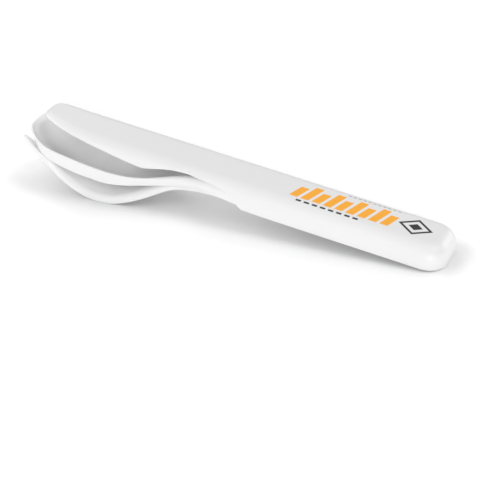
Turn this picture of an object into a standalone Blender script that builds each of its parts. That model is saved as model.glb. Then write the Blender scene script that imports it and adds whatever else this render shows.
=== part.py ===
"""Plastic cutlery pack: a fork, a spoon and a knife nested in one another,
the knife on top as the cover, lying on the fork's head and the handle's end."""
import math

import bmesh
import bpy
from mathutils import Matrix, Vector

MM = 0.001

# The moulding wall and the play that lets one handle slide inside the next.
WALL = 1.6 * MM
NEST_GAP = 0.3 * MM
STACK_STEP = WALL + NEST_GAP

# The knife handle is the outermost channel; the other two follow from it.
PACK_LENGTH = 190.0 * MM
HANDLE_WIDTH = 27.0 * MM
HANDLE_HEIGHT = 9.8 * MM
HANDLE_SHOULDER = 6.4 * MM
HANDLE_CORNER = 9.2 * MM
RIM_RECESS = 0.25 * MM
BOWL_LIP = 0.7 * MM
SHOULDER_PLAY = 0.3 * MM
EDGE_BAND = 0.35 * MM
BOWL_SLOPE = 4.2 * MM
BOWL_TUCK = 0.8 * MM
BLADE_TIP_SHOULDER = 3.2 * MM
HEAD_SHOULDER = 3.0 * MM
HEAD_CROWN = 2.0 * MM
TINE_SHOULDER = 0.6 * MM

# Slots between the four tines.
SLOT_PITCH_ROOT = 8.0 * MM
SLOT_PITCH_TIP = 7.4 * MM
SLOT_ROOT_X = 29.0 * MM
SLOT_WIDTH_ROOT = 1.9 * MM
SLOT_WIDTH_TIP = 5.0 * MM
TINE_TIP_ROUND = 5.0 * MM

# Colours of the near-white plastic.
KNIFE_COLOUR = (0.80, 0.81, 0.82, 1.0)
SPOON_COLOUR = (0.79, 0.80, 0.81, 1.0)
FORK_COLOUR = (0.78, 0.79, 0.80, 1.0)

# Knife blade outline in plan, near side then back, millimetres from the tip.
BLADE_NEAR = [(0.3, 1.0), (0.6, -1.0), (1.8, -3.2), (3.9, -5.1), (7.1, -7.05), (13.1, -10.2),
              (19.4, -11.9), (26.0, -12.8), (34.0, -13.35), (42.0, -13.5)]
BLADE_BACK = [(0.3, 6.0), (0.6, 7.8), (1.8, 10.0), (4.1, 11.5), (7.4, 12.35), (13.0, 13.15),
              (19.4, 13.5), (26.0, 13.5), (34.0, 13.5), (42.0, 13.5)]
# Heights below are millimetres from the top of the piece's own handle.
# Where the knife's near wall ends: cutting edge, belly, finger notch, step.
BLADE_EDGE = [(-1.6, -1.3), (6.6, -1.6), (13.0, -1.8), (19.4, -2.1), (26.0, -2.5), (34.0, -3.1),
              (42.0, -3.9), (49.0, -4.7), (54.5, -5.0), (59.0, -4.1), (64.4, -2.8), (70.0, -1.9),
              (75.0, -1.65), (82.0, -2.2), (88.0, -2.8), (91.5, -3.4), (95.0, -4.8),
              (98.2, -6.9), (101.0, -9.2), (102.5, -9.8)]
# Where the knife's back wall ends along the spine.
SPINE_EDGE = [(-1.6, -1.3), (4.0, -1.9), (10.0, -3.4), (20.0, -4.8), (40.0, -5.3), (88.0, -5.3),
              (94.0, -6.2), (99.0, -8.6), (102.5, -9.8)]

# Spoon half outline, then its rim, the bottom of its wall and its bowl floor.
SPOON_SIDE = [(-3.2, 3.6), (-2.7, 6.0), (-0.7, 9.6), (3.0, 13.0), (7.2, 15.6), (13.0, 17.0),
              (22.0, 17.3), (32.0, 17.2), (42.0, 16.9), (50.0, 15.9), (56.0, 13.6), (62.0, 11.1),
              (68.0, 9.6), (75.0, 9.3), (83.0, 10.1), (92.0, 11.2), (103.0, 11.6)]
SPOON_RIM = [(-3.2, -3.7), (3.0, -5.3), (10.0, -6.4), (20.0, -7.3), (30.0, -8.2), (40.0, -8.6),
             (50.0, -8.3), (57.0, -7.8), (63.0, -6.7), (70.0, -4.7), (78.0, -2.7), (88.0, -0.9),
             (98.0, -0.1), (106.0, 0.0)]
SPOON_WALL = [(-3.2, -5.5), (0.0, -7.3), (5.0, -9.5), (10.0, -11.1), (18.0, -12.8),
              (28.0, -13.9), (38.0, -14.2), (46.0, -13.1), (53.0, -11.9), (60.0, -11.1),
              (67.0, -9.9), (75.0, -7.7), (82.0, -6.6), (92.0, -6.9), (102.5, -7.65)]
SPOON_FLOOR = [(-3.2, -3.7), (-1.0, -5.4), (2.0, -7.4), (6.0, -9.7), (10.0, -11.5),
               (15.0, -13.9), (20.0, -15.3), (28.0, -16.1), (36.0, -16.0), (44.0, -14.8),
               (51.0, -12.6), (58.0, -10.2), (64.0, -8.0), (70.0, -5.6), (78.0, -3.1),
               (88.0, -1.05), (98.0, -0.1), (106.0, 0.0)]

# Fork half outline, then its top and its underside.
FORK_SIDE = [(-3.6, 11.4), (-3.2, 11.8), (-1.0, 12.45), (5.0, 13.5), (15.0, 14.9), (25.0, 15.8),
             (34.0, 16.0), (42.0, 15.8), (48.0, 15.0), (53.0, 13.3), (58.0, 11.0), (63.0, 9.0),
             (68.0, 7.6), (74.0, 7.1), (81.0, 7.4), (90.0, 8.8), (98.0, 9.5), (104.0, 9.7)]
FORK_TOP = [(-3.6, -5.0), (-0.3, -6.7), (5.9, -10.1), (10.9, -12.2), (17.6, -15.7),
            (25.6, -18.5), (33.2, -19.9), (40.7, -19.2), (49.3, -16.45), (57.2, -12.85),
            (63.8, -8.95), (67.5, -7.1), (72.0, -5.6), (81.2, -2.95), (88.7, -1.2),
            (95.0, -0.23), (103.0, 0.0)]
FORK_UNDER = [(-3.6, -6.65), (-0.3, -8.7), (5.9, -12.7), (10.9, -15.3), (17.6, -19.0),
              (25.6, -22.0), (33.2, -23.5), (40.7, -22.9), (49.3, -20.3), (57.2, -16.8),
              (63.8, -13.0), (67.5, -11.2), (72.0, -9.8), (81.2, -7.9), (88.7, -6.7),
              (95.0, -5.9), (102.5, -5.75)]

COLUMNS = 8
SHOULDER_STEPS = 4


def clear_scene():
    """Start from an empty scene."""
    for obj in list(bpy.data.objects):
        bpy.data.objects.remove(obj, do_unlink=True)


def plastic(name, colour):
    """Opaque near-white plastic, semi-gloss."""
    mat = bpy.data.materials.new(name)
    mat.use_nodes = True
    shader = mat.node_tree.nodes["Principled BSDF"]
    shader.inputs["Base Color"].default_value = colour
    shader.inputs["Roughness"].default_value = 0.38
    shader.inputs["Metallic"].default_value = 0.0
    return mat


def along(table, x):
    """Smooth height or width at x from points given in millimetres, no overshoot."""
    x = x / MM
    if x <= table[0][0]:
        return table[0][1] * MM
    if x >= table[-1][0]:
        return table[-1][1] * MM
    slopes = [(b[1] - a[1]) / (b[0] - a[0]) for a, b in zip(table, table[1:])]
    tangents = [slopes[0]]
    for before, after in zip(slopes, slopes[1:]):
        tangents.append(0.0 if before * after <= 0 else 2 * before * after / (before + after))
    tangents.append(slopes[-1])
    k = max(i for i, p in enumerate(table[:-1]) if p[0] <= x)
    span = table[k + 1][0] - table[k][0]
    t = (x - table[k][0]) / span
    value = (table[k][1] * (1 + 2 * t) * (1 - t) ** 2 + tangents[k] * span * t * (1 - t) ** 2
             + table[k + 1][1] * t * t * (3 - 2 * t) + tangents[k + 1] * span * t * t * (t - 1))
    return value * MM


def ease(x, a, b):
    """0 before a, 1 after b, smooth between; x in metres, a and b in millimetres."""
    t = min(1.0, max(0.0, (x / MM - a) / (b - a)))
    return t * t * (3 - 2 * t)


def own_top(order):
    """Top of the knife's (0), the spoon's (1) or the fork's (2) handle."""
    return HANDLE_HEIGHT - order * STACK_STEP


def skirt_edge(table, x, order):
    """Lower edge of a skirt: it hangs from the top along the head, and ends
    just above the knife's rim along the handle."""
    recess = RIM_RECESS if order else 0.0
    hang = own_top(order) + along(table, x)
    end = own_top(order) + table[-1][1] * MM
    return hang + (recess - end) * ease(x, 60.0, table[-1][0])


def spline(points, steps):
    """Points and outward normals of a smooth line; y grows away from the axis."""
    pts = [Vector(p) * MM for p in points]
    out = []
    for k in range(len(pts) - 1):
        p1, p2 = pts[k], pts[k + 1]
        p0 = pts[k - 1] if k else p1 + (p1 - p2)
        p3 = pts[k + 2] if k + 2 < len(pts) else p2 + (p2 - p1)
        last = k == len(pts) - 2
        for j in range(steps[k] + (1 if last else 0)):
            t = j / steps[k]
            pos = 0.5 * (2 * p1 + (p2 - p0) * t + (2 * p0 - 5 * p1 + 4 * p2 - p3) * t * t
                         + (3 * p1 - p0 - 3 * p2 + p3) * t ** 3)
            tan = ((p2 - p0) + 2 * (2 * p0 - 5 * p1 + 4 * p2 - p3) * t
                   + 3 * (3 * p1 - p0 - 3 * p2 + p3) * t * t).normalized()
            out.append((pos, Vector((-tan.y, tan.x))))
    first_normal = Vector((-1.0, 0.0))
    out[0] = (out[0][0], first_normal)
    return out


def handle_end(start, length, width, corner):
    """Outline of the straight handle and its rounded end, one side, y positive."""
    half = width / 2
    out = [(Vector((start + (length - corner - start) * f, half)), Vector((0.0, 1.0)))
           for f in (0.1, 0.4, 0.7)]
    for k in range(8):
        a = math.radians(90 * k / 7)
        out.append((Vector((length - corner + corner * math.sin(a),
                            half - corner + corner * math.cos(a))),
                    Vector((math.sin(a), math.cos(a)))))
    return out


def place(side, sign, inset, z):
    """A point inset from the outline, on the near side (-1) or the far side (+1)."""
    pos, normal = side
    p = pos - normal * inset
    return Vector((p.x, sign * p.y, z))


def across(a, b, count):
    """Evenly eased points strictly between two points."""
    out = []
    for j in range(1, count):
        s = -math.cos(math.pi * j / count)
        out.append((a.lerp(b, (s + 1) / 2), s))
    return out


def moulding(name, stations, material):
    """Skin the stations into one closed thin-walled body and close both ends."""
    bm = bmesh.new()
    rings = []
    for st in stations:
        ring = {}
        for key in ("near", "top", "far", "far_in", "under", "near_in"):
            ring[key] = [bm.verts.new(p) for p in st[key]]
        rings.append(ring)

    def loop(ring):
        return (ring["near"] + ring["top"] + ring["far"][::-1]
                + ring["far_in"] + ring["under"][::-1] + ring["near_in"][::-1])

    for a, b in zip(rings, rings[1:]):
        la, lb = loop(a), loop(b)
        n = len(la)
        for i in range(n):
            bm.faces.new((la[i], la[(i + 1) % n], lb[(i + 1) % n], lb[i]))
    for ring in (rings[0], rings[-1]):
        rows = []
        for outer in (True, False):
            near, far = (ring["near"], ring["far"]) if outer else (ring["near_in"], ring["far_in"])
            mid = ring["top"] if outer else ring["under"]
            grid = []
            for r in range(len(near) - 1):
                between = [bm.verts.new(near[r].co.lerp(far[r].co, (s + 1) / 2))
                           for _, s in across(near[r].co, far[r].co, len(mid) + 1)]
                grid.append([near[r]] + between + [far[r]])
            grid.append([near[-1]] + mid + [far[-1]])
            rows.append(grid)
        wall = rows[0][::-1] + rows[1]
        for u, v in zip(wall, wall[1:]):
            for c in range(len(u) - 1):
                bm.faces.new((u[c], u[c + 1], v[c + 1], v[c]))
    bmesh.ops.recalc_face_normals(bm, faces=bm.faces)
    mesh = bpy.data.meshes.new(name)
    bm.to_mesh(mesh)
    bm.free()
    obj = bpy.data.objects.new(name, mesh)
    bpy.context.scene.collection.objects.link(obj)
    obj.data.materials.append(material)
    return obj


def smooth(obj, angle=40.0):
    """Round surfaces shade smooth, real edges stay crisp."""
    bpy.ops.object.select_all(action="DESELECT")
    obj.select_set(True)
    bpy.context.view_layer.objects.active = obj
    obj.data.shade_smooth()
    obj.data.set_sharp_from_angle(angle=math.radians(angle))


def trimmed_wall(side, sign, edge, inner):
    """Shoulder and wall of the knife, cut off at the height of its edge."""
    grown = ease(side[0].x, -2.0, 18.0)
    radius = BLADE_TIP_SHOULDER + (HANDLE_SHOULDER - BLADE_TIP_SHOULDER) * grown
    base = HANDLE_HEIGHT - radius
    wall = max(0.0, base - edge)
    cut = 0.0 if edge < base else math.asin((edge - base) / radius)
    first = max(0.0, cut + (EDGE_BAND - wall) / radius)
    r = radius - (WALL if inner else 0.0)
    foot = base + r * math.sin(cut) if edge > base else edge
    out = [place(side, sign, radius - r * math.cos(cut), foot)]
    for k in range(SHOULDER_STEPS + 1):
        a = first + (math.pi / 2 - first) * k / SHOULDER_STEPS
        out.append(place(side, sign, radius - r * math.cos(a), base + r * math.sin(a)))
    return out


def knife():
    """Knife: a channel handle whose top runs on as the blade."""
    near = spline([(x, -y) for x, y in BLADE_NEAR], [2, 2, 2, 2, 2, 2, 2, 2, 3])
    back = spline(BLADE_BACK, [2, 2, 2, 2, 2, 2, 2, 2, 3])
    stops = [46, 50, 53, 56, 59, 62, 65, 69, 74, 79, 84, 88, 91, 93, 95, 96.6, 98.2, 99.6,
             101, 102.5]
    straight = [(Vector((x * MM, HANDLE_WIDTH / 2)), Vector((0.0, 1.0))) for x in stops]
    tail = handle_end(102.5 * MM, PACK_LENGTH, HANDLE_WIDTH, HANDLE_CORNER)
    near = near + straight + tail
    back = back + straight + tail
    stations = []
    for n, b in zip(near, back):
        st = {}
        for key, side, sign, table in (("near", n, -1, BLADE_EDGE), ("far", b, 1, SPINE_EDGE)):
            edge = skirt_edge(table, side[0].x, 0)
            st[key] = trimmed_wall(side, sign, edge, False)
            st[key + "_in"] = trimmed_wall(side, sign, edge, True)
        st["top"] = [p for p, _ in across(st["near"][-1], st["far"][-1], COLUMNS)]
        st["under"] = [p for p, _ in across(st["near_in"][-1], st["far_in"][-1], COLUMNS)]
        stations.append(st)
    return moulding("knife", stations, plastic("knife plastic", KNIFE_COLOUR))


def spoon():
    """Spoon: the handle's skirt runs on as the outer wall of a deep bowl."""
    steps = [2, 2, 2, 2, 2, 2, 2, 2, 2, 2, 2, 2, 2, 2, 2, 2]
    inset = STACK_STEP
    side = spline(SPOON_SIDE, steps)
    side += handle_end(103.0 * MM, PACK_LENGTH - inset, HANDLE_WIDTH - 2 * inset,
                       HANDLE_CORNER - inset)
    shoulder = HANDLE_SHOULDER - inset + SHOULDER_PLAY
    stations = []
    for s in side:
        x = s[0].x
        bowl = 1.0 - ease(x, 52.0, 74.0)
        radius = BOWL_LIP + (shoulder - BOWL_LIP) * ease(x, 56.0, 100.0)
        rim = own_top(1) + along(SPOON_RIM, x)
        wall = skirt_edge(SPOON_WALL, x, 1)
        floor = own_top(1) + along(SPOON_FLOOR, x)
        ceiling = floor - WALL
        st = {}
        for key, sign in (("near", -1), ("far", 1)):
            outer = [place(s, sign, BOWL_TUCK * bowl, wall - 0.5 * MM * bowl)]
            for k in range(SHOULDER_STEPS + 1):
                a = math.pi / 2 * k / SHOULDER_STEPS
                outer.append(place(s, sign, radius * (1 - math.cos(a)),
                                   rim - radius * (1 - math.sin(a))))
            st[key] = outer
            inner_radius = max(0.4 * MM, radius - WALL)
            edge = wall - 1.0 * MM * bowl
            inner = [place(s, sign, WALL, edge)]
            for k in range(SHOULDER_STEPS + 1):
                a = math.pi / 2 * k / SHOULDER_STEPS
                channel_in = WALL + inner_radius * (1 - math.cos(a))
                channel_z = ceiling - inner_radius * (1 - math.sin(a))
                f = (k + 1) / (SHOULDER_STEPS + 1)
                bowl_in = WALL + BOWL_SLOPE * f * (0.45 + 0.55 * ease(x, -4.0, 8.0))
                p = place(s, sign, channel_in + (bowl_in - channel_in) * bowl, 0.0)
                below = own_top(1) + along(SPOON_FLOOR, p.x) - WALL
                bowl_z = edge + (below - edge) * (1 - (1 - 0.62 * f) ** 2.0)
                p.z = channel_z + (bowl_z - channel_z) * bowl
                inner.append(p)
            st[key + "_in"] = inner
        st["top"] = [Vector((p.x, p.y, floor + (rim - floor) * abs(c) ** 4.5))
                     for p, c in across(st["near"][-1], st["far"][-1], COLUMNS)]
        low = st["near_in"][-1]
        ceiling = own_top(1) + along(SPOON_FLOOR, low.x) - WALL
        st["under"] = [Vector((p.x, p.y, ceiling + (low.z - ceiling) * abs(c) ** 2.2))
                       for p, c in across(st["near_in"][-1], st["far_in"][-1], COLUMNS)]
        stations.append(st)
    return moulding("spoon", stations, plastic("spoon plastic", SPOON_COLOUR))


def fork():
    """Fork: four deep tines on a swept head, the handle an open channel."""
    steps = [2, 1, 2, 2, 2, 2, 2, 2, 2, 2, 2, 2, 2, 2, 2, 2, 1]
    inset = 2 * STACK_STEP
    side = spline(FORK_SIDE, steps)
    side += handle_end(104.0 * MM, PACK_LENGTH - inset, HANDLE_WIDTH - 2 * inset,
                       HANDLE_CORNER - inset)
    shoulder = HANDLE_SHOULDER - inset + 2 * SHOULDER_PLAY
    stations = []
    for s in side:
        x = s[0].x
        channel = ease(x, 30.0, 42.0)
        radius = TINE_SHOULDER + (HEAD_SHOULDER - TINE_SHOULDER) * ease(x, 4.0, 28.0)
        radius += (shoulder - HEAD_SHOULDER) * ease(x, 50.0, 92.0)
        under = skirt_edge(FORK_UNDER, x, 2)
        rim = own_top(2) + along(FORK_TOP, x)
        ceiling = under + (rim - under - WALL) * channel
        st = {}
        for key, sign in (("near", -1), ("far", 1)):
            outer = [place(s, sign, 0.0, under)]
            for k in range(SHOULDER_STEPS + 1):
                a = math.pi / 2 * k / SHOULDER_STEPS
                outer.append(place(s, sign, radius * (1 - math.cos(a)),
                                   rim - radius * (1 - math.sin(a))))
            st[key] = outer
            inner_radius = max(0.4 * MM, radius - WALL) * channel
            inner = [place(s, sign, WALL, under)]
            for k in range(SHOULDER_STEPS + 1):
                a = math.pi / 2 * k / SHOULDER_STEPS
                solid_in = WALL + 0.4 * MM * (k + 1) / (SHOULDER_STEPS + 1)
                channel_in = WALL + max(0.4 * MM, radius - WALL) * (1 - math.cos(a))
                inner.append(place(s, sign, solid_in + (channel_in - solid_in) * channel
                                   + 0.02 * MM * (k + 1),
                                   ceiling - inner_radius * (1 - math.sin(a))))
            st[key + "_in"] = inner
        crown = Vector((0.0, 0.0, HEAD_CROWN * ease(x, 16.0, 32.0) * (1 - ease(x, 46.0, 66.0))))
        st["top"] = [p + crown * (1 - c * c)
                     for p, c in across(st["near"][-1], st["far"][-1], COLUMNS)]
        st["under"] = [p + crown * (1 - c * c)
                       for p, c in across(st["near_in"][-1], st["far_in"][-1], COLUMNS)]
        stations.append(st)
    body = moulding("fork", stations, plastic("fork plastic", FORK_COLOUR))
    for k in (-1, 0, 1):
        cut_slot(body, k)
    return body


def cut_slot(body, k):
    """Cut one tapering slot with a round root between two tines."""
    bm = bmesh.new()
    tip_x = FORK_SIDE[0][0] * MM
    root_y = k * SLOT_PITCH_ROOT
    tip_y = k * SLOT_PITCH_TIP
    half_tine = (SLOT_PITCH_TIP - SLOT_WIDTH_TIP) / 2
    lip = []
    for j in range(6):
        a = math.radians(15 + 75 * j / 5)
        lip.append((tip_x + TINE_TIP_ROUND * (1 - math.cos(a)),
                    SLOT_PITCH_TIP / 2 - half_tine * math.sin(a)))
    lip.insert(0, (tip_x - 3 * TINE_TIP_ROUND, lip[0][1]))
    outline = [(x, tip_y - half) for x, half in lip[::-1]]
    outline += [(x, tip_y + half) for x, half in lip]
    for j in range(7):
        a = math.pi * j / 6
        outline.append((SLOT_ROOT_X + SLOT_WIDTH_ROOT / 2 * math.sin(a),
                        root_y + SLOT_WIDTH_ROOT / 2 * math.cos(a)))
    low = own_top(2) + min(z for x, z in FORK_UNDER) * MM - WALL
    face = bm.faces.new([bm.verts.new((x, y, low)) for x, y in outline])
    grown = bmesh.ops.extrude_face_region(bm, geom=[face])
    bmesh.ops.translate(bm, vec=(0.0, 0.0, own_top(0) - low),
                        verts=[v for v in grown["geom"] if isinstance(v, bmesh.types.BMVert)])
    bmesh.ops.recalc_face_normals(bm, faces=bm.faces)
    mesh = bpy.data.meshes.new("slot cutter")
    bm.to_mesh(mesh)
    bm.free()
    cutter = bpy.data.objects.new("slot cutter", mesh)
    bpy.context.scene.collection.objects.link(cutter)
    mod = body.modifiers.new("slot", "BOOLEAN")
    mod.operation = "DIFFERENCE"
    mod.solver = "EXACT"
    mod.object = cutter
    bpy.context.view_layer.objects.active = body
    bpy.ops.object.modifier_apply(modifier=mod.name)
    bpy.data.objects.remove(cutter, do_unlink=True)


def rest_angle():
    """Tilt at which the fork's head and the handle's end both touch the table."""
    best = 0.0
    for x, z in FORK_UNDER:
        drop = -skirt_edge(FORK_UNDER, x * MM, 2)
        best = max(best, math.atan2(drop, PACK_LENGTH - x * MM))
    return best


def build():
    clear_scene()
    pieces = [knife(), spoon(), fork()]
    for obj in pieces:
        smooth(obj)
    pose = bpy.data.objects.new("pack at rest", None)
    bpy.context.scene.collection.objects.link(pose)
    tilt = Matrix.Rotation(rest_angle(), 4, "Y")
    low = Vector((1.0, 1.0, 1.0))
    high = Vector((-1.0, -1.0, -1.0))
    for obj in pieces:
        for v in obj.data.vertices:
            p = tilt @ v.co
            low = Vector(map(min, low, p))
            high = Vector(map(max, high, p))
    pose.rotation_euler = (0.0, rest_angle(), 0.0)
    pose.location = (-(low.x + high.x) / 2, -(low.y + high.y) / 2, -low.z)
    for obj in pieces:
        obj.parent = pose


build()
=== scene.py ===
"""A nested pack of near-white plastic cutlery on a white studio sweep."""
import math

import bmesh
import bpy
from mathutils import Matrix, Vector


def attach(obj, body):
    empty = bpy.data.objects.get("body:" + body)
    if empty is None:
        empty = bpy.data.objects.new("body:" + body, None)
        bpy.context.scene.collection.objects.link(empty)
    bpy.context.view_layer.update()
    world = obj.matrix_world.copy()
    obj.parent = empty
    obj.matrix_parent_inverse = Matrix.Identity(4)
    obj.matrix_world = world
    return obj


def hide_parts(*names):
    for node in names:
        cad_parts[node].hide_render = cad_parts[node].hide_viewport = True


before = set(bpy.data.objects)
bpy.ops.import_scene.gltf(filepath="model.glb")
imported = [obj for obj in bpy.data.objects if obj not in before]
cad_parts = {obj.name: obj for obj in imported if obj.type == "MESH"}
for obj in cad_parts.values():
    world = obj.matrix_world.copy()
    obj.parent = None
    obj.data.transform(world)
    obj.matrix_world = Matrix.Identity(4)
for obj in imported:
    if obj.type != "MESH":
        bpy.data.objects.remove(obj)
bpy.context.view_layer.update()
MM = 0.001
scene = bpy.context.scene
scene.view_settings.view_transform = "Standard"

# Knife: the cover of the pack. One moulding, a flat-topped channel handle that runs on as
# the blade, its near wall cut up in a step, a finger notch and a belly to a blunt tip. All
# three pieces are made lying straight, the knife's rim level, then tilted to rest.
WALL = 1.6 * MM
STACK_STEP = 1.9 * MM
PACK_LENGTH = 190.0 * MM
HANDLE_WIDTH = 27.0 * MM
HANDLE_HEIGHT = 9.8 * MM
HANDLE_SHOULDER = 6.4 * MM
HANDLE_CORNER = 9.2 * MM
EDGE_BAND = 0.35 * MM
RIM_RECESS = 0.25 * MM
REST_TILT = 0.112715
REST_PLACE = Vector((-92.763, 0.0, 21.384)) * MM
BLADE_TIP_SHOULDER = 3.2 * MM
KNIFE_EDGE_RADIUS = 0.28 * MM
COLUMNS = 24
SHOULDER_STEPS = 8
BLADE_NEAR = [(0.3, 1.0), (0.6, -1.0), (1.8, -3.2), (3.9, -5.1), (7.1, -7.05), (13.1, -10.2),
              (19.4, -11.9), (26.0, -12.8), (34.0, -13.35), (42.0, -13.5)]
BLADE_BACK = [(0.3, 6.0), (0.6, 7.8), (1.8, 10.0), (4.1, 11.5), (7.4, 12.35), (13.0, 13.15),
              (19.4, 13.5), (26.0, 13.5), (34.0, 13.5), (42.0, 13.5)]
BLADE_EDGE = [(-1.6, -1.3), (6.6, -1.6), (13.0, -1.8), (19.4, -2.1), (26.0, -2.5), (34.0, -3.1),
              (42.0, -3.9), (49.0, -4.7), (54.5, -5.0), (59.0, -4.1), (64.4, -2.8), (70.0, -1.9),
              (75.0, -1.65), (82.0, -2.2), (88.0, -2.8), (91.5, -3.4), (95.0, -4.8),
              (98.2, -6.9), (101.0, -9.2), (102.5, -9.8)]
SPINE_EDGE = [(-1.6, -1.3), (4.0, -1.9), (10.0, -3.4), (20.0, -4.8), (40.0, -5.3), (88.0, -5.3),
              (94.0, -6.2), (99.0, -8.6), (102.5, -9.8)]


def along(table, x):
    """Smooth value at x from points in millimetres, without overshoot."""
    x = x / MM
    if x <= table[0][0]:
        return table[0][1] * MM
    if x >= table[-1][0]:
        return table[-1][1] * MM
    slopes = [(b[1] - a[1]) / (b[0] - a[0]) for a, b in zip(table, table[1:])]
    tangents = [slopes[0]]
    for before, after in zip(slopes, slopes[1:]):
        tangents.append(0.0 if before * after <= 0 else 2 * before * after / (before + after))
    tangents.append(slopes[-1])
    k = max(i for i, p in enumerate(table[:-1]) if p[0] <= x)
    span = table[k + 1][0] - table[k][0]
    t = (x - table[k][0]) / span
    value = (table[k][1] * (1 + 2 * t) * (1 - t) ** 2 + tangents[k] * span * t * (1 - t) ** 2
             + table[k + 1][1] * t * t * (3 - 2 * t) + tangents[k + 1] * span * t * t * (t - 1))
    return value * MM


def own_top(order):
    """Top of the knife's (0), the spoon's (1) or the fork's (2) handle."""
    return HANDLE_HEIGHT - order * STACK_STEP


def skirt_edge(table, x, order):
    """Lower edge of a skirt: it hangs from the top along the head, and ends
    just above the knife's rim along the handle."""
    recess = RIM_RECESS if order else 0.0
    hang = own_top(order) + along(table, x)
    end = own_top(order) + table[-1][1] * MM
    return hang + (recess - end) * ease(x / MM, 60.0, table[-1][0])


def spline(points, steps):
    """Points and outward normals of a smooth outline."""
    pts = [Vector(p) * MM for p in points]
    out = []
    for k in range(len(pts) - 1):
        p1, p2 = pts[k], pts[k + 1]
        p0 = pts[k - 1] if k else p1 + (p1 - p2)
        p3 = pts[k + 2] if k + 2 < len(pts) else p2 + (p2 - p1)
        last = k == len(pts) - 2
        for j in range(steps + (1 if last else 0)):
            t = j / steps
            pos = 0.5 * (2 * p1 + (p2 - p0) * t + (2 * p0 - 5 * p1 + 4 * p2 - p3) * t * t
                         + (3 * p1 - p0 - 3 * p2 + p3) * t ** 3)
            tan = ((p2 - p0) + 2 * (2 * p0 - 5 * p1 + 4 * p2 - p3) * t
                   + 3 * (3 * p1 - p0 - 3 * p2 + p3) * t * t).normalized()
            out.append((pos, Vector((-tan.y, tan.x))))
    out[0] = (out[0][0], Vector((-1.0, 0.0)))
    return out


def handle_end(start, length, width, corner):
    """One side of the straight handle and its rounded end."""
    half = width / 2
    out = [(Vector((start + (length - corner - start) * f, half)), Vector((0.0, 1.0)))
           for f in (0.1, 0.3, 0.5, 0.7, 0.85, 0.95)]
    for k in range(15):
        a = math.radians(90 * k / 14)
        out.append((Vector((length - corner + corner * math.sin(a),
                            half - corner + corner * math.cos(a))),
                    Vector((math.sin(a), math.cos(a)))))
    return out


def place(side, sign, inset, z):
    """A point inset from the outline, near side (-1) or far side (+1)."""
    pos, normal = side
    p = pos - normal * inset
    return Vector((p.x, sign * p.y, z))


def across(a, b, count):
    """Points between two others, closer together at both ends."""
    out = []
    for j in range(1, count):
        s = -math.cos(math.pi * j / count)
        out.append((a.lerp(b, (s + 1) / 2), s))
    return out


def ease(x, a, b):
    """0 before a, 1 after b, smooth between."""
    t = min(1.0, max(0.0, (x - a) / (b - a)))
    return t * t * (3 - 2 * t)


def moulding(name, stations):
    """Skin the stations into one closed thin-walled body, closed at both ends."""
    bm = bmesh.new()
    rings = []
    for st in stations:
        rings.append({key: [bm.verts.new(p) for p in st[key]]
                      for key in ("near", "top", "far", "far_in", "under", "near_in")})

    def loop(ring):
        return (ring["near"] + ring["top"] + ring["far"][::-1]
                + ring["far_in"] + ring["under"][::-1] + ring["near_in"][::-1])

    foot = {True: set(), False: set()}
    for ring in rings:
        foot[True] |= {ring["near"][0], ring["far"][0]}
        foot[False] |= {ring["near_in"][0], ring["far_in"][0]}
    for a, b in zip(rings, rings[1:]):
        la, lb = loop(a), loop(b)
        n = len(la)
        for i in range(n):
            bm.faces.new((la[i], la[(i + 1) % n], lb[(i + 1) % n], lb[i]))
    for ring in (rings[0], rings[-1]):
        rows = []
        for outer in (True, False):
            near, far = (ring["near"], ring["far"]) if outer else (ring["near_in"], ring["far_in"])
            mid = ring["top"] if outer else ring["under"]
            grid = []
            for r in range(len(near) - 1):
                between = [bm.verts.new(near[r].co.lerp(far[r].co, (s + 1) / 2))
                           for _, s in across(near[r].co, far[r].co, len(mid) + 1)]
                grid.append([near[r]] + between + [far[r]])
            grid.append([near[-1]] + mid + [far[-1]])
            foot[outer] |= set(grid[0])
            rows.append(grid)
        wall = rows[0][::-1] + rows[1]
        for u, v in zip(wall, wall[1:]):
            for c in range(len(u) - 1):
                bm.faces.new((u[c], u[c + 1], v[c + 1], v[c]))
    bmesh.ops.recalc_face_normals(bm, faces=bm.faces)
    weight = bm.edges.layers.float.new("bevel_weight_edge")
    for edge in bm.edges:
        if any(set(edge.verts) <= side for side in foot.values()):
            edge[weight] = 1.0
    mesh = bpy.data.meshes.new(name)
    bm.to_mesh(mesh)
    bm.free()
    piece = bpy.data.objects.new(name, mesh)
    scene.collection.objects.link(piece)
    return piece


def round_edges(piece, radius):
    """Round the marked edges: both edges of the foot, all the way along the rim."""
    soften = piece.modifiers.new("edge radius", "BEVEL")
    soften.width = radius
    soften.segments = 3
    soften.limit_method = "WEIGHT"
    soften.use_clamp_overlap = False
    bpy.context.view_layer.objects.active = piece
    bpy.ops.object.modifier_apply(modifier=soften.name)


def finish_moulding(piece, node_name, material):
    """Shade smooth, tilt to rest and stand in for the solid."""
    piece.data.materials.append(material)
    piece.data.shade_smooth()
    piece.data.set_sharp_from_angle(angle=math.radians(75))
    piece.data.transform(Matrix.Translation(REST_PLACE) @ Matrix.Rotation(REST_TILT, 4, "Y"))
    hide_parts(node_name)
    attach(piece, "root")


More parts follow.
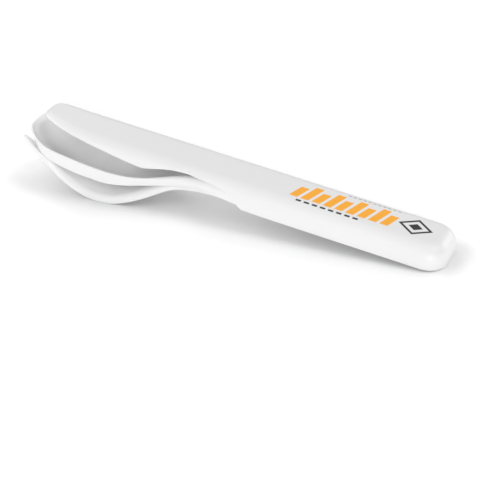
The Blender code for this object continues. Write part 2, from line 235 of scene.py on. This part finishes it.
def trimmed_wall(side, sign, edge, inner):
    """Shoulder and wall, cut off at the height of the knife's edge."""
    grown = ease(side[0].x / MM, -2.0, 18.0)
    radius = BLADE_TIP_SHOULDER + (HANDLE_SHOULDER - BLADE_TIP_SHOULDER) * grown
    base = HANDLE_HEIGHT - radius
    wall = max(0.0, base - edge)
    cut = 0.0 if edge < base else math.asin((edge - base) / radius)
    first = max(0.0, cut + (EDGE_BAND - wall) / radius)
    r = radius - (WALL if inner else 0.0)
    foot = base + r * math.sin(cut) if edge > base else edge
    out = [place(side, sign, radius - r * math.cos(cut), foot)]
    for k in range(SHOULDER_STEPS + 1):
        a = first + (math.pi / 2 - first) * k / SHOULDER_STEPS
        out.append(place(side, sign, radius - r * math.cos(a), base + r * math.sin(a)))
    return out


knife_body = [(Vector((x * MM, HANDLE_WIDTH / 2)), Vector((0.0, 1.0)))
              for x in [43 + 1.2 * k for k in range(50)]]
knife_tail = handle_end(102.5 * MM, PACK_LENGTH, HANDLE_WIDTH, HANDLE_CORNER)
knife_near = spline([(x, -y) for x, y in BLADE_NEAR], 6) + knife_body + knife_tail
knife_back = spline(BLADE_BACK, 6) + knife_body + knife_tail
stations = []
for near_side, back_side in zip(knife_near, knife_back):
    st = {}
    for key, side, sign, table in (("near", near_side, -1, BLADE_EDGE),
                                   ("far", back_side, 1, SPINE_EDGE)):
        edge = skirt_edge(table, side[0].x, 0)
        st[key] = trimmed_wall(side, sign, edge, False)
        st[key + "_in"] = trimmed_wall(side, sign, edge, True)
    st["top"] = [p for p, _ in across(st["near"][-1], st["far"][-1], COLUMNS)]
    st["under"] = [p for p, _ in across(st["near_in"][-1], st["far_in"][-1], COLUMNS)]
    stations.append(st)
knife = moulding("knife_moulding", stations)

# Shader maths: a socket that adds, multiplies and compares like a number, so
# a pattern reads as a formula. Node types that aren't maths come from node().


class Signal:
    """One output socket of a node tree."""

    def __init__(self, tree, socket):
        self.tree = tree
        self.socket = socket

    def maths(self, operation, *others):
        made = self.tree.nodes.new("ShaderNodeMath")
        made.operation = operation
        self.tree.links.new(self.socket, made.inputs[0])
        for k, other in enumerate(others):
            if isinstance(other, Signal):
                self.tree.links.new(other.socket, made.inputs[k + 1])
            else:
                made.inputs[k + 1].default_value = other
        return Signal(self.tree, made.outputs[0])

    def __add__(self, other):
        return self.maths("ADD", other)

    def __sub__(self, other):
        return self.maths("SUBTRACT", other)

    def __mul__(self, other):
        return self.maths("MULTIPLY", other)

    def __truediv__(self, other):
        return self.maths("DIVIDE", other)

    def __neg__(self):
        return self.maths("MULTIPLY", -1.0)

    def __rsub__(self, other):
        return (-self).maths("ADD", other)

    __radd__ = __add__
    __rmul__ = __mul__

    def size(self):
        return self.maths("ABSOLUTE")

    def repeat(self, step):
        """Distance from the middle of the nearest cell of a row of cells."""
        return (self / step).maths("FRACT").maths("SUBTRACT", 0.5) * step

    def inside(self, half, soft=0.06):
        """1 where the size of the value is under half, with a soft edge."""
        level = ((half - self.size()) / soft).maths("ADD", 0.5)
        return level.maths("MINIMUM", 1.0).maths("MAXIMUM", 0.0)


def node(tree, kind, inputs, **settings):
    """Add a node, set its settings, then link or set its inputs."""
    made = tree.nodes.new(kind)
    for name, value in settings.items():
        setattr(made, name, value)
    for name, value in inputs.items():
        if isinstance(value, Signal):
            tree.links.new(value.socket, made.inputs[name])
        else:
            made.inputs[name].default_value = value
    return made


def moulded_plastic(name, colour, roughness):
    """Injection-moulded plastic: an even body colour with faint flow marks, a
    slow sink in the wide faces, a fine spark-eroded grain and light scuffs."""
    material = bpy.data.materials.new(name)
    material.use_nodes = True
    tree = material.node_tree
    place = Signal(tree, node(tree, "ShaderNodeTexCoord", {}).outputs["Object"])
    flow = Signal(tree, node(tree, "ShaderNodeTexNoise",
                             {"Vector": place, "Scale": 24.0, "Detail": 3.0,
                              "Roughness": 0.45}).outputs["Fac"])
    sink = Signal(tree, node(tree, "ShaderNodeTexNoise",
                             {"Vector": place, "Scale": 75.0, "Detail": 1.0}).outputs["Fac"])
    grain = Signal(tree, node(tree, "ShaderNodeTexNoise",
                              {"Vector": place, "Scale": 2400.0, "Detail": 2.0,
                               "Roughness": 0.6}).outputs["Fac"])
    drawn = Signal(tree, node(tree, "ShaderNodeMapping",
                              {"Vector": place, "Rotation": (0.0, 0.0, 0.5),
                               "Scale": (60.0, 1500.0, 900.0)}).outputs["Vector"])
    streak = Signal(tree, node(tree, "ShaderNodeTexNoise",
                               {"Vector": drawn, "Scale": 1.0, "Detail": 1.0}).outputs["Fac"])
    scuff = ((streak - 0.66) * 9.0).maths("MAXIMUM", 0.0).maths("MINIMUM", 1.0)
    body = node(tree, "ShaderNodeMix",
                {"Factor": flow, "A": (*[c * 0.985 for c in colour], 1.0),
                 "B": (*[c * 1.012 for c in colour], 1.0)}, data_type="RGBA")
    shader = tree.nodes["Principled BSDF"]
    shader.inputs["IOR"].default_value = 1.5
    shader.inputs["Specular IOR Level"].default_value = 0.4
    tree.links.new((flow * 0.05 + scuff * 0.12 + (roughness - 0.03)).socket,
                   shader.inputs["Roughness"])
    waves = node(tree, "ShaderNodeBump", {"Height": sink, "Strength": 0.5, "Distance": 0.00012})
    skin = node(tree, "ShaderNodeBump",
                {"Height": grain + scuff * -0.6, "Strength": 0.12, "Distance": 0.00003,
                 "Normal": Signal(tree, waves.outputs["Normal"])})
    tree.links.new(skin.outputs["Normal"], shader.inputs["Normal"])
    body_colour = Signal(tree, body.outputs["Result"])
    tree.links.new(body_colour.socket, shader.inputs["Base Color"])
    return material, tree, shader, body_colour


knife_plastic, tree, shader, body_colour = moulded_plastic(
    "knife plastic", (0.79, 0.79, 0.79), 0.40)

# The print on the handle's flat top: a generic design in orange and charcoal.
# Slanted bars of two heights, a lozenge in a lozenge, and two rows of dashes.
ORANGE = (0.97, 0.43, 0.045, 1.0)
CHARCOAL = (0.04, 0.04, 0.043, 1.0)
where = node(tree, "ShaderNodeSeparateXYZ",
             {"Vector": Signal(tree, node(tree, "ShaderNodeTexCoord", {}).outputs["Object"])})
east = (Signal(tree, where.outputs["X"]) - REST_PLACE.x) / MM
north = Signal(tree, where.outputs["Y"]) / MM
height = (Signal(tree, where.outputs["Z"]) - REST_PLACE.z) / MM
station = east * math.cos(REST_TILT) - height * math.sin(REST_TILT)
level = east * math.sin(REST_TILT) + height * math.cos(REST_TILT)
on_top = (level - 9.8).inside(0.5)
slanted = station - north * 0.3
tall_bars = (slanted - 142.5).repeat(10.0).inside(1.8) * (north - 0.3).inside(5.6)
low_bars = (slanted - 137.5).repeat(10.0).inside(1.8) * (north + 1.0).inside(4.2)
bars = (tall_bars + low_bars) * (slanted - 142.5).inside(22.4)
spread = (station - 173.2).size() * 0.8 + (north - 0.3).size()
lozenge = (spread - 5.3).inside(0.7) + spread.inside(2.5)
dash_run = station.repeat(3.6).inside(1.15) * (station - 136.8).inside(14.6)
dashes = (north + 7.3).inside(0.6) * dash_run
thin_run = station.repeat(2.2).inside(0.7) * (station - 153.0).inside(12.2)
thin_rule = (north - 7.5).inside(0.25) * thin_run
dark = (lozenge + dashes + thin_rule * 0.65).maths("MINIMUM", 1.0) * on_top
with_bars = node(tree, "ShaderNodeMix", {"Factor": bars * on_top, "A": body_colour, "B": ORANGE},
                 data_type="RGBA")
printed = node(tree, "ShaderNodeMix",
               {"Factor": dark, "A": Signal(tree, with_bars.outputs["Result"]), "B": CHARCOAL},
               data_type="RGBA")
tree.links.new(printed.outputs["Result"], shader.inputs["Base Color"])
round_edges(knife, KNIFE_EDGE_RADIUS)
finish_moulding(knife, "knife", knife_plastic)

# Spoon: one moulding, between the other two. A narrower channel handle, whose
# skirt runs on round the neck as the outer wall of a deep, blunt bowl.
SPOON_SIDE = [(-3.2, 3.6), (-2.7, 6.0), (-0.7, 9.6), (3.0, 13.0), (7.2, 15.6), (13.0, 17.0),
              (22.0, 17.3), (32.0, 17.2), (42.0, 16.9), (50.0, 15.9), (56.0, 13.6), (62.0, 11.1),
              (68.0, 9.6), (75.0, 9.3), (83.0, 10.1), (92.0, 11.2), (103.0, 11.6)]
SPOON_RIM = [(-3.2, -3.7), (3.0, -5.3), (10.0, -6.4), (20.0, -7.3), (30.0, -8.2), (40.0, -8.6),
             (50.0, -8.3), (57.0, -7.8), (63.0, -6.7), (70.0, -4.7), (78.0, -2.7), (88.0, -0.9),
             (98.0, -0.1), (106.0, 0.0)]
SPOON_WALL = [(-3.2, -5.5), (0.0, -7.3), (5.0, -9.5), (10.0, -11.1), (18.0, -12.8),
              (28.0, -13.9), (38.0, -14.2), (46.0, -13.1), (53.0, -11.9), (60.0, -11.1),
              (67.0, -9.9), (75.0, -7.7), (82.0, -6.6), (92.0, -6.9), (102.5, -7.65)]
SPOON_FLOOR = [(-3.2, -3.7), (-1.0, -5.4), (2.0, -7.4), (6.0, -9.7), (10.0, -11.5),
               (15.0, -13.9), (20.0, -15.3), (28.0, -16.1), (36.0, -16.0), (44.0, -14.8),
               (51.0, -12.6), (58.0, -10.2), (64.0, -8.0), (70.0, -5.6), (78.0, -3.1),
               (88.0, -1.05), (98.0, -0.1), (106.0, 0.0)]
SHOULDER_PLAY = 0.3 * MM
BOWL_LIP = 0.7 * MM
BOWL_TUCK = 0.8 * MM
BOWL_FOOT_RISE = 0.5 * MM
BOWL_FOOT_DROP = 1.0 * MM
LEAST_RADIUS = 0.4 * MM
SPOON_EDGE_RADIUS = 0.25 * MM
BOWL_SLOPE = 4.2 * MM
side = spline(SPOON_SIDE, 8) + handle_end(103.0 * MM, PACK_LENGTH - STACK_STEP,
                                          HANDLE_WIDTH - 2 * STACK_STEP,
                                          HANDLE_CORNER - STACK_STEP)
shoulder = HANDLE_SHOULDER - STACK_STEP + SHOULDER_PLAY
stations = []
for s in side:
    x = s[0].x
    bowl = 1.0 - ease(x / MM, 52.0, 74.0)
    radius = BOWL_LIP + (shoulder - BOWL_LIP) * ease(x / MM, 56.0, 100.0)
    rim = own_top(1) + along(SPOON_RIM, x)
    wall = skirt_edge(SPOON_WALL, x, 1)
    floor = own_top(1) + along(SPOON_FLOOR, x)
    ceiling = floor - WALL
    st = {}
    for key, sign in (("near", -1), ("far", 1)):
        st[key] = [place(s, sign, BOWL_TUCK * bowl, wall - BOWL_FOOT_RISE * bowl)]
        edge = wall - BOWL_FOOT_DROP * bowl
        st[key + "_in"] = [place(s, sign, WALL, edge)]
        inner_radius = max(LEAST_RADIUS, radius - WALL)
        for k in range(SHOULDER_STEPS + 1):
            a = math.pi / 2 * k / SHOULDER_STEPS
            st[key].append(place(s, sign, radius * (1 - math.cos(a)),
                                 rim - radius * (1 - math.sin(a))))
            f = (k + 1) / (SHOULDER_STEPS + 1)
            channel_in = WALL + inner_radius * (1 - math.cos(a))
            channel_z = ceiling - inner_radius * (1 - math.sin(a))
            bowl_in = WALL + BOWL_SLOPE * f * (0.45 + 0.55 * ease(x / MM, -4.0, 8.0))
            p = place(s, sign, channel_in + (bowl_in - channel_in) * bowl, 0.0)
            below = own_top(1) + along(SPOON_FLOOR, p.x) - WALL
            bowl_z = edge + (below - edge) * (1 - (1 - 0.62 * f) ** 2.0)
            p.z = channel_z + (bowl_z - channel_z) * bowl
            st[key + "_in"].append(p)
    st["top"] = [Vector((p.x, p.y, floor + (rim - floor) * abs(c) ** 4.5))
                 for p, c in across(st["near"][-1], st["far"][-1], COLUMNS)]
    low = st["near_in"][-1]
    ceiling = own_top(1) + along(SPOON_FLOOR, low.x) - WALL
    st["under"] = [Vector((p.x, p.y, ceiling + (low.z - ceiling) * abs(c) ** 2.2))
                   for p, c in across(st["near_in"][-1], st["far_in"][-1], COLUMNS)]
    stations.append(st)
spoon = moulding("spoon_moulding", stations)
spoon_plastic = moulded_plastic("spoon plastic", (0.80, 0.80, 0.80), 0.36)[0]
round_edges(spoon, SPOON_EDGE_RADIUS)
finish_moulding(spoon, "spoon", spoon_plastic)

# Fork: one moulding, at the bottom of the nest. The narrowest channel handle,
# a neck that arches up and a swept head with four deep tines.
FORK_SIDE = [(-3.6, 11.4), (-3.2, 11.8), (-1.0, 12.45), (5.0, 13.5), (15.0, 14.9), (25.0, 15.8),
             (34.0, 16.0), (42.0, 15.8), (48.0, 15.0), (53.0, 13.3), (58.0, 11.0), (63.0, 9.0),
             (68.0, 7.6), (74.0, 7.1), (81.0, 7.4), (90.0, 8.8), (98.0, 9.5), (104.0, 9.7)]
FORK_UNDER = [(-3.6, -6.65), (-0.3, -8.7), (5.9, -12.7), (10.9, -15.3), (17.6, -19.0),
              (25.6, -22.0), (33.2, -23.5), (40.7, -22.9), (49.3, -20.3), (57.2, -16.8),
              (63.8, -13.0), (67.5, -11.2), (72.0, -9.8), (81.2, -7.9), (88.7, -6.7),
              (95.0, -5.9), (102.5, -5.75)]
FORK_TOP = [(-3.6, -5.0), (-0.3, -6.7), (5.9, -10.1), (10.9, -12.2), (17.6, -15.7),
            (25.6, -18.5), (33.2, -19.9), (40.7, -19.2), (49.3, -16.45), (57.2, -12.85),
            (63.8, -8.95), (67.5, -7.1), (72.0, -5.6), (81.2, -2.95), (88.7, -1.2),
            (95.0, -0.23), (103.0, 0.0)]
SLOT_PITCH_ROOT = 8.0 * MM
SLOT_PITCH_TIP = 7.4 * MM
SLOT_ROOT_X = 29.0 * MM
SLOT_WIDTH_ROOT = 1.9 * MM
SLOT_WIDTH_TIP = 5.0 * MM
TINE_TIP_ROUND = 5.0 * MM
TINE_SHOULDER = 0.6 * MM
HEAD_SHOULDER = 3.0 * MM
HEAD_CROWN = 2.0 * MM
SOLID_STEP = 0.4 * MM
ROW_STEP = 0.01 * MM
SLOT_DEPTH = 25.0 * MM
SLOT_HEIGHT = 35.0 * MM
SLIVER = 0.004 * MM
SQUARE_TIP = 7.0 * MM
FORK_EDGE_RADIUS = 0.3 * MM
side = spline(FORK_SIDE, 8) + handle_end(104.0 * MM, PACK_LENGTH - 2 * STACK_STEP,
                                         HANDLE_WIDTH - 4 * STACK_STEP,
                                         HANDLE_CORNER - 2 * STACK_STEP)
shoulder = HANDLE_SHOULDER - 2 * STACK_STEP + 2 * SHOULDER_PLAY
stations = []
for s in side:
    x = s[0].x
    channel = ease(x / MM, 30.0, 42.0)
    radius = TINE_SHOULDER + (HEAD_SHOULDER - TINE_SHOULDER) * ease(x / MM, 4.0, 28.0)
    radius += (shoulder - HEAD_SHOULDER) * ease(x / MM, 50.0, 92.0)
    under = skirt_edge(FORK_UNDER, x, 2)
    rim = own_top(2) + along(FORK_TOP, x)
    ceiling = under + (rim - under - WALL) * channel
    st = {}
    for key, sign in (("near", -1), ("far", 1)):
        st[key] = [place(s, sign, 0.0, under)]
        st[key + "_in"] = [place(s, sign, WALL, under)]
        inner_radius = max(LEAST_RADIUS, radius - WALL)
        for k in range(SHOULDER_STEPS + 1):
            a = math.pi / 2 * k / SHOULDER_STEPS
            f = (k + 1) / (SHOULDER_STEPS + 1)
            st[key].append(place(s, sign, radius * (1 - math.cos(a)),
                                 rim - radius * (1 - math.sin(a))))
            solid_in = WALL + SOLID_STEP * f
            channel_in = WALL + inner_radius * (1 - math.cos(a))
            st[key + "_in"].append(place(s, sign, solid_in + (channel_in - solid_in) * channel
                                         + ROW_STEP * (k + 1),
                                         ceiling - inner_radius * channel * (1 - math.sin(a))))
    crown = HEAD_CROWN * ease(x / MM, 16.0, 32.0) * (1 - ease(x / MM, 46.0, 66.0))
    st["top"] = [p + Vector((0.0, 0.0, crown * (1 - c * c)))
                 for p, c in across(st["near"][-1], st["far"][-1], COLUMNS)]
    st["under"] = [p + Vector((0.0, 0.0, crown * (1 - c * c)))
                   for p, c in across(st["near_in"][-1], st["far_in"][-1], COLUMNS)]
    stations.append(st)
fork = moulding("fork_moulding", stations)
half_tine = (SLOT_PITCH_TIP - SLOT_WIDTH_TIP) / 2
for row in (-1, 0, 1):
    bm = bmesh.new()
    lip = []
    for j in range(13):
        a = math.radians(15 + 75 * j / 12)
        lip.append((FORK_SIDE[0][0] * MM + TINE_TIP_ROUND * (1 - math.cos(a)),
                    SLOT_PITCH_TIP / 2 - half_tine * math.sin(a)))
    lip.insert(0, (-8.0 * MM, lip[0][1]))
    outline = [(x, row * SLOT_PITCH_TIP - half) for x, half in lip[::-1]]
    outline += [(x, row * SLOT_PITCH_TIP + half) for x, half in lip]
    for j in range(13):
        a = math.pi * j / 12
        outline.append((SLOT_ROOT_X + SLOT_WIDTH_ROOT / 2 * math.sin(a),
                        row * SLOT_PITCH_ROOT + SLOT_WIDTH_ROOT / 2 * math.cos(a)))
    face = bm.faces.new([bm.verts.new((x, y, -SLOT_DEPTH)) for x, y in outline])
    grown = bmesh.ops.extrude_face_region(bm, geom=[face])
    bmesh.ops.translate(bm, vec=(0.0, 0.0, SLOT_HEIGHT),
                        verts=[v for v in grown["geom"] if isinstance(v, bmesh.types.BMVert)])
    bmesh.ops.recalc_face_normals(bm, faces=bm.faces)
    slot_mesh = bpy.data.meshes.new("slot cutter")
    bm.to_mesh(slot_mesh)
    bm.free()
    cutter = bpy.data.objects.new("slot_cutter", slot_mesh)
    scene.collection.objects.link(cutter)
    cut = fork.modifiers.new("slot", "BOOLEAN")
    cut.operation = "DIFFERENCE"
    cut.solver = "EXACT"
    cut.object = cutter
    bpy.context.view_layer.objects.active = fork
    bpy.ops.object.modifier_apply(modifier=cut.name)
    bpy.data.objects.remove(cutter, do_unlink=True)
bm = bmesh.new()
bm.from_mesh(fork.data)
bmesh.ops.dissolve_degenerate(bm, edges=bm.edges, dist=SLIVER)
weight = bm.edges.layers.float["bevel_weight_edge"]
for edge in bm.edges:
    if min(v.co.x for v in edge.verts) < SQUARE_TIP:
        edge[weight] = 0.0
bm.to_mesh(fork.data)
bm.free()
round_edges(fork, FORK_EDGE_RADIUS)
fork_plastic = moulded_plastic("fork plastic", (0.81, 0.81, 0.81), 0.38)[0]
finish_moulding(fork, "fork", fork_plastic)

# The studio: a white paper floor that keeps the pack's soft shadow from the lamps, plus a painted
# contact shade that darkens its colour close under the pack, a faint even surround, low strips on
# the right and broad boxes above, behind and to the left.
FLOOR_HALF = 3.0
FLOOR_GLOW = 0.09
PAINTED_SHADE_DISTANCE = 0.021
SURROUND_STRENGTH = 0.21
LIGHT_ACROSS = math.radians(28.0)
LIGHT_DISTANCE = 0.8
floor_mesh = bpy.data.meshes.new("studio_floor")
floor_mesh.from_pydata([(-FLOOR_HALF, -FLOOR_HALF, 0), (FLOOR_HALF, -FLOOR_HALF, 0),
                         (FLOOR_HALF, FLOOR_HALF, 0), (-FLOOR_HALF, FLOOR_HALF, 0)],
                        [], [(0, 1, 2, 3)])
studio_floor = bpy.data.objects.new("studio_floor", floor_mesh)
scene.collection.objects.link(studio_floor)
paper = bpy.data.materials.new("white paper sweep")
paper.use_nodes = True
paper_shader = paper.node_tree.nodes["Principled BSDF"]
paper_shader.inputs["Roughness"].default_value = 1.0
paper_shader.inputs["Specular IOR Level"].default_value = 0.0
paper_shader.inputs["Emission Color"].default_value = (1.0, 1.0, 1.0, 1.0)
paper_shader.inputs["Emission Strength"].default_value = FLOOR_GLOW
fibre = node(paper.node_tree, "ShaderNodeTexNoise", {"Scale": 900.0, "Detail": 3.0})
# Painted shade: an ambient-occlusion probe darkens the floor's colour close under and beside the
# pack, on top of the lamps' real shadow; the fibre noise is the paper's own faint grain.
painted_shade_probe = node(paper.node_tree, "ShaderNodeAmbientOcclusion", {"Distance": PAINTED_SHADE_DISTANCE},
                samples=4)
painted_shade_openness = Signal(paper.node_tree, painted_shade_probe.outputs["AO"])
paper_grain = Signal(paper.node_tree, fibre.outputs["Fac"]) * 0.01 + 0.985
grain_and_painted_shade = paper_grain * (painted_shade_openness * 0.51 + 0.49)
paper_grain_and_painted_shade = node(paper.node_tree, "ShaderNodeMix",
                  {"Factor": grain_and_painted_shade, "A": (0.0, 0.0, 0.0, 1.0), "B": (1.0, 1.0, 1.0, 1.0)},
                  data_type="RGBA")
paper.node_tree.links.new(paper_grain_and_painted_shade.outputs["Result"], paper_shader.inputs["Base Color"])
floor_mesh.materials.append(paper)

world = bpy.data.worlds.new("studio surround")
world.use_nodes = True
world.node_tree.nodes["Background"].inputs["Color"].default_value = (1.0, 1.0, 1.0, 1.0)
world.node_tree.nodes["Background"].inputs["Strength"].default_value = SURROUND_STRENGTH
scene.world = world


def soft_light(name, azimuth, elevation, strength):
    """A wide, even studio light from one side."""
    light = bpy.data.lights.new(name, "SUN")
    light.energy = strength
    light.angle = LIGHT_ACROSS
    holder = bpy.data.objects.new(name, light)
    turn, rise = math.radians(azimuth), math.radians(elevation)
    towards = Vector((math.cos(turn) * math.cos(rise), math.sin(turn) * math.cos(rise),
                      math.sin(rise)))
    holder.location = towards * LIGHT_DISTANCE
    holder.rotation_euler = towards.to_track_quat("Z", "Y").to_euler()
    scene.collection.objects.link(holder)


soft_light("front right strip", 302, 14, 1.55)
soft_light("back right strip", 60, 16, 0.85)
soft_light("high right box", 20, 60, 0.85)
soft_light("left box", 185, 36, 0.85)
soft_light("back left box", 135, 40, 0.5)
soft_light("front left box", 228, 34, 0.6)

# Camera: fitted to the photo's outline of the pack.
ELEVATION = 0.55851
SWING = 0.40922
DISTANCE = 650.0 * MM
FOCAL_PIXELS = 1509.35
AIM_PIXEL = (237.397, 212.159)
FRAME_PIXELS = 480.0
SENSOR_WIDTH = 36.0
right = Vector((math.cos(SWING), math.sin(SWING), 0.0))
away = Vector((-math.sin(SWING), math.cos(SWING), 0.0))
up = away * math.sin(ELEVATION) + Vector((0.0, 0.0, math.cos(ELEVATION)))
forward = away * math.cos(ELEVATION) - Vector((0.0, 0.0, math.sin(ELEVATION)))
aim = REST_PLACE + Vector((93.794, 0.0, -21.371)) * MM
shift_right = (AIM_PIXEL[0] - FRAME_PIXELS / 2) / FOCAL_PIXELS * DISTANCE
shift_up = -(AIM_PIXEL[1] - FRAME_PIXELS / 2) / FOCAL_PIXELS * DISTANCE
camera_data = bpy.data.cameras.new("photo camera")
camera_data.sensor_width = SENSOR_WIDTH
camera_data.lens = SENSOR_WIDTH * FOCAL_PIXELS / FRAME_PIXELS
camera = bpy.data.objects.new("photo camera", camera_data)
turn = Matrix((right, up, -forward)).transposed()
spot = aim - right * shift_right - up * shift_up - forward * DISTANCE
camera.matrix_world = Matrix.Translation(spot) @ turn.to_4x4()
camera_data.clip_start = 0.01
scene.collection.objects.link(camera)
scene.camera = camera

bpy.context.view_layer.update()
